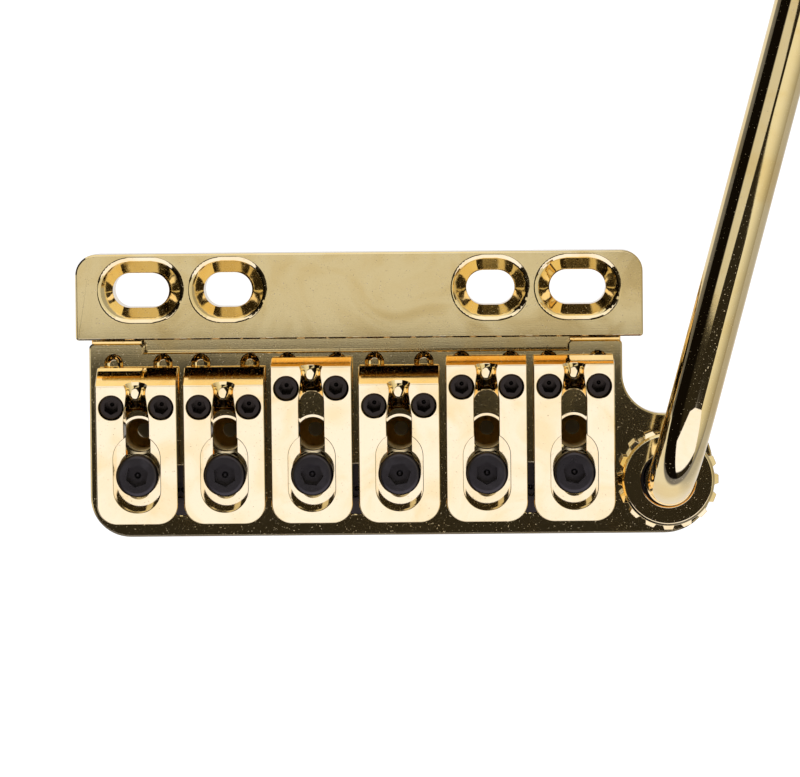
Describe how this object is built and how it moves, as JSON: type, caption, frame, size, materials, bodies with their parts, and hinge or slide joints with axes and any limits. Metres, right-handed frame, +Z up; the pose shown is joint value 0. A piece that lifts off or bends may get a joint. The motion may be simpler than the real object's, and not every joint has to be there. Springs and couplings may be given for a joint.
{
  "type": "guitar tremolo bridge",
  "caption": "Floating guitar tremolo bridge: a slotted fixed plate, a knife-edge floating plate with block, adjustable saddles and a swing arm held by a knurled nut.",
  "frame": {"origin": "middle of the four mounting slots, on the underside of the fixed plate where it lies on the guitar", "axes": "+X to the arm's side along the plate, +Y towards the neck, +Z up from the guitar's top"},
  "size_m": [0.1137, 0.1485, 0.0676],
  "materials": {
    "gold_bar": "polished gold plating on the fixed plate",
    "gold_plate": "polished gold plating on the floating plate",
    "gold_saddles": "polished gold plating on the saddles",
    "gold_block": "polished gold plating on the sustain block",
    "gold_fittings": "polished gold plating on the turned arm fittings",
    "gold_arm": "polished gold plating on the arm",
    "black_screws": "black oxide steel",
    "bush_plastic": "black acetal bush"
  },
  "bodies": {
    "fixed": {"fixed_plate": "gold_bar"},
    "floating": {"base_plate": "gold_plate", "tremolo_block": "gold_block", "block_screws": "black_screws", "arm_socket": "gold_fittings", "arm_bush": "bush_plastic"},
    "saddle_1": {"saddle_1": "gold_saddles"},
    "lock_screw_1": {"saddle_lock_screw_1": "black_screws"},
    "height_screw_1_left": {"height_screw_1_left": "black_screws"},
    "height_screw_1_right": {"height_screw_1_right": "black_screws"},
    "saddle_2": {"saddle_2": "gold_saddles"},
    "lock_screw_2": {"saddle_lock_screw_2": "black_screws"},
    "height_screw_2_left": {"height_screw_2_left": "black_screws"},
    "height_screw_2_right": {"height_screw_2_right": "black_screws"},
    "saddle_3": {"saddle_3": "gold_saddles"},
    "lock_screw_3": {"saddle_lock_screw_3": "black_screws"},
    "height_screw_3_left": {"height_screw_3_left": "black_screws"},
    "height_screw_3_right": {"height_screw_3_right": "black_screws"},
    "saddle_4": {"saddle_4": "gold_saddles"},
    "lock_screw_4": {"saddle_lock_screw_4": "black_screws"},
    "height_screw_4_left": {"height_screw_4_left": "black_screws"},
    "height_screw_4_right": {"height_screw_4_right": "black_screws"},
    "saddle_5": {"saddle_5": "gold_saddles"},
    "lock_screw_5": {"saddle_lock_screw_5": "black_screws"},
    "height_screw_5_left": {"height_screw_5_left": "black_screws"},
    "height_screw_5_right": {"height_screw_5_right": "black_screws"},
    "saddle_6": {"saddle_6": "gold_saddles"},
    "lock_screw_6": {"saddle_lock_screw_6": "black_screws"},
    "height_screw_6_left": {"height_screw_6_left": "black_screws"},
    "height_screw_6_right": {"height_screw_6_right": "black_screws"},
    "arm_nut": {"arm_nut": "gold_fittings"},
    "arm": {"tremolo_arm": "gold_arm"}
  },
  "joints": [
    {"name": "tremolo_pivot", "type": "hinge", "parent": "fixed", "child": "floating", "pos_m": [0, -0.0054, 0.0058], "axis": [-1, 0, 0], "range_deg": [-5, 15], "stiffness_Nm_per_rad": 12},
    {"name": "saddle_1_slide", "type": "slide", "parent": "floating", "child": "saddle_1", "axis": [0, 1, 0], "range_m": [-0.002, 0.0013]},
    {"name": "lock_screw_1_turn", "type": "hinge", "parent": "floating", "child": "lock_screw_1", "pos_m": [-0.0275, -0.0228, 0.0072], "axis": [0, 0, 1], "continuous": true},
    {"name": "height_screw_1_left_turn", "type": "hinge", "parent": "saddle_1", "child": "height_screw_1_left", "pos_m": [-0.03056, -0.01369, 0.0089], "axis": [0, -0.1132, 0.9936], "continuous": true},
    {"name": "height_screw_1_right_turn", "type": "hinge", "parent": "saddle_1", "child": "height_screw_1_right", "pos_m": [-0.02444, -0.01369, 0.0089], "axis": [0, -0.1132, 0.9936], "continuous": true},
    {"name": "saddle_2_slide", "type": "slide", "parent": "floating", "child": "saddle_2", "axis": [0, 1, 0], "range_m": [-0.002, 0.0013]},
    {"name": "lock_screw_2_turn", "type": "hinge", "parent": "floating", "child": "lock_screw_2", "pos_m": [-0.0167, -0.0228, 0.0072], "axis": [0, 0, 1], "continuous": true},
    {"name": "height_screw_2_left_turn", "type": "hinge", "parent": "saddle_2", "child": "height_screw_2_left", "pos_m": [-0.01976, -0.01369, 0.0089], "axis": [0, -0.1132, 0.9936], "continuous": true},
    {"name": "height_screw_2_right_turn", "type": "hinge", "parent": "saddle_2", "child": "height_screw_2_right", "pos_m": [-0.01364, -0.01369, 0.0089], "axis": [0, -0.1132, 0.9936], "continuous": true},
    {"name": "saddle_3_slide", "type": "slide", "parent": "floating", "child": "saddle_3", "axis": [0, 1, 0], "range_m": [-0.002, 0.0013]},
    {"name": "lock_screw_3_turn", "type": "hinge", "parent": "floating", "child": "lock_screw_3", "pos_m": [-0.0059, -0.0228, 0.0072], "axis": [0, 0, 1], "continuous": true},
    {"name": "height_screw_3_left_turn", "type": "hinge", "parent": "saddle_3", "child": "height_screw_3_left", "pos_m": [-0.00896, -0.01146, 0.00915], "axis": [0, -0.1132, 0.9936], "continuous": true},
    {"name": "height_screw_3_right_turn", "type": "hinge", "parent": "saddle_3", "child": "height_screw_3_right", "pos_m": [-0.00284, -0.01146, 0.00915], "axis": [0, -0.1132, 0.9936], "continuous": true},
    {"name": "saddle_4_slide", "type": "slide", "parent": "floating", "child": "saddle_4", "axis": [0, 1, 0], "range_m": [-0.002, 0.0013]},
    {"name": "lock_screw_4_turn", "type": "hinge", "parent": "floating", "child": "lock_screw_4", "pos_m": [0.0049, -0.0228, 0.0072], "axis": [0, 0, 1], "continuous": true},
    {"name": "height_screw_4_left_turn", "type": "hinge", "parent": "saddle_4", "child": "height_screw_4_left", "pos_m": [0.00184, -0.01369, 0.0089], "axis": [0, -0.1132, 0.9936], "continuous": true},
    {"name": "height_screw_4_right_turn", "type": "hinge", "parent": "saddle_4", "child": "height_screw_4_right", "pos_m": [0.00796, -0.01369, 0.0089], "axis": [0, -0.1132, 0.9936], "continuous": true},
    {"name": "saddle_5_slide", "type": "slide", "parent": "floating", "child": "saddle_5", "axis": [0, 1, 0], "range_m": [-0.002, 0.0013]},
    {"name": "lock_screw_5_turn", "type": "hinge", "parent": "floating", "child": "lock_screw_5", "pos_m": [0.0157, -0.0228, 0.0072], "axis": [0, 0, 1], "continuous": true},
    {"name": "height_screw_5_left_turn", "type": "hinge", "parent": "saddle_5", "child": "height_screw_5_left", "pos_m": [0.01264, -0.01146, 0.00915], "axis": [0, -0.1132, 0.9936], "continuous": true},
    {"name": "height_screw_5_right_turn", "type": "hinge", "parent": "saddle_5", "child": "height_screw_5_right", "pos_m": [0.01876, -0.01146, 0.00915], "axis": [0, -0.1132, 0.9936], "continuous": true},
    {"name": "saddle_6_slide", "type": "slide", "parent": "floating", "child": "saddle_6", "axis": [0, 1, 0], "range_m": [-0.002, 0.0013]},
    {"name": "lock_screw_6_turn", "type": "hinge", "parent": "floating", "child": "lock_screw_6", "pos_m": [0.0265, -0.0228, 0.0072], "axis": [0, 0, 1], "continuous": true},
    {"name": "height_screw_6_left_turn", "type": "hinge", "parent": "saddle_6", "child": "height_screw_6_left", "pos_m": [0.02344, -0.01146, 0.00915], "axis": [0, -0.1132, 0.9936], "continuous": true},
    {"name": "height_screw_6_right_turn", "type": "hinge", "parent": "saddle_6", "child": "height_screw_6_right", "pos_m": [0.02956, -0.01146, 0.00915], "axis": [0, -0.1132, 0.9936], "continuous": true},
    {"name": "arm_nut_turn", "type": "hinge", "parent": "floating", "child": "arm_nut", "pos_m": [0.03807, -0.0238, 0.0072], "axis": [0, 0, 1], "continuous": true},
    {"name": "arm_swing", "type": "hinge", "parent": "floating", "child": "arm", "pos_m": [0.03807, -0.0238, 0.0072], "axis": [0, 0, 1], "continuous": true}
  ]
}
